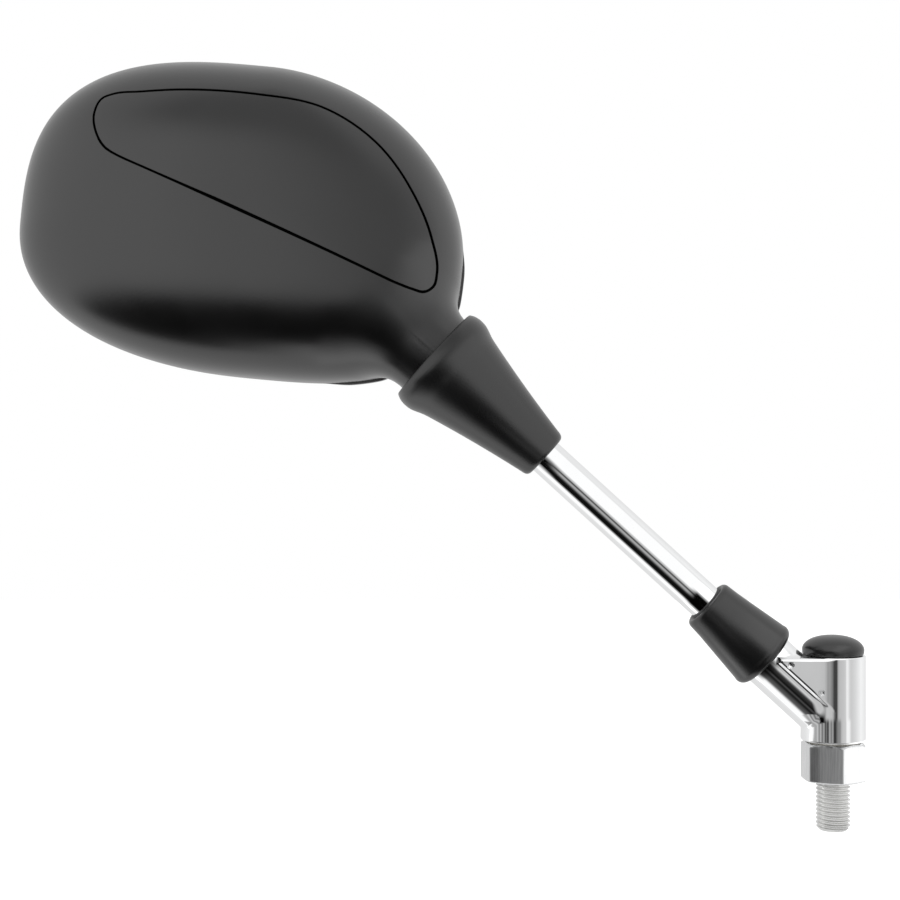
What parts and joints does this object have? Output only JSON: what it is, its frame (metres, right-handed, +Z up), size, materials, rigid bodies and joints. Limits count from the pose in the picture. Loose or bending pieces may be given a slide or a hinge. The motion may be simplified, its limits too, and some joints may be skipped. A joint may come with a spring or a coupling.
{
  "type": "motorcycle mirror",
  "caption": "Right-hand motorcycle mirror: black moulded head on a ball joint, chrome stem and a folding arm on a threaded stud.",
  "frame": {"origin": "centre of the hexagon's underside, where the stud seats, on the stud's axis", "axes": "+Z up the stud, -X towards the head, +Y out of the mirror glass towards the rider"},
  "size_m": [0.2527, 0.0442, 0.2289],
  "materials": {
    "chrome": "polished chrome plate",
    "zinc": "zinc plate",
    "rubber": "matte",
    "black_plastic": "fine grain",
    "nylon": "natural",
    "bronze": "sintered",
    "foam": "matte",
    "mirror": "silvered mirror"
  },
  "bodies": {
    "stud": {"mounting_stud": "chrome", "friction_washer": "nylon", "flat_washer": "zinc", "spring_washer": "zinc", "pivot_nut": "zinc"},
    "arm": {"bracket": "chrome", "pivot_bush": "bronze", "pivot_cap": "rubber", "stem": "chrome", "stem_lock_nut": "zinc", "stem_boot": "rubber", "ball_stud": "zinc", "head_boot": "rubber"},
    "lower_seat": {"lower_ball_seat": "nylon"},
    "upper_seat": {"upper_ball_seat": "nylon"},
    "head": {"ball_socket": "zinc", "disc_springs": "zinc", "adjusting_plug": "zinc", "retaining_ring": "zinc", "housing_shell": "black_plastic", "inset_panel": "black_plastic", "front_bezel": "black_plastic", "glass_carrier": "black_plastic", "glass_pad": "foam", "mirror_glass": "mirror"}
  },
  "joints": [
    {"name": "arm_swivel", "type": "hinge", "parent": "stud", "child": "arm", "pos_m": [0, 0, 0.025], "axis": [0, 0, 1], "continuous": true},
    {"name": "head_nod", "type": "hinge", "parent": "arm", "child": "lower_seat", "pos_m": [-0.11815, 0, 0.12599], "axis": [0.6743, 0, 0.7385], "range_deg": [-12, 12], "deforming": ["head_boot"]},
    {"name": "head_level", "type": "hinge", "parent": "lower_seat", "child": "upper_seat", "pos_m": [-0.11815, 0, 0.12599], "axis": [0, 1, 0], "range_deg": [-12, 12]},
    {"name": "head_twist", "type": "hinge", "parent": "upper_seat", "child": "head", "pos_m": [-0.11815, 0, 0.12599], "axis": [-0.7385, 0, 0.6743], "range_deg": [-30, 30]}
  ]
}
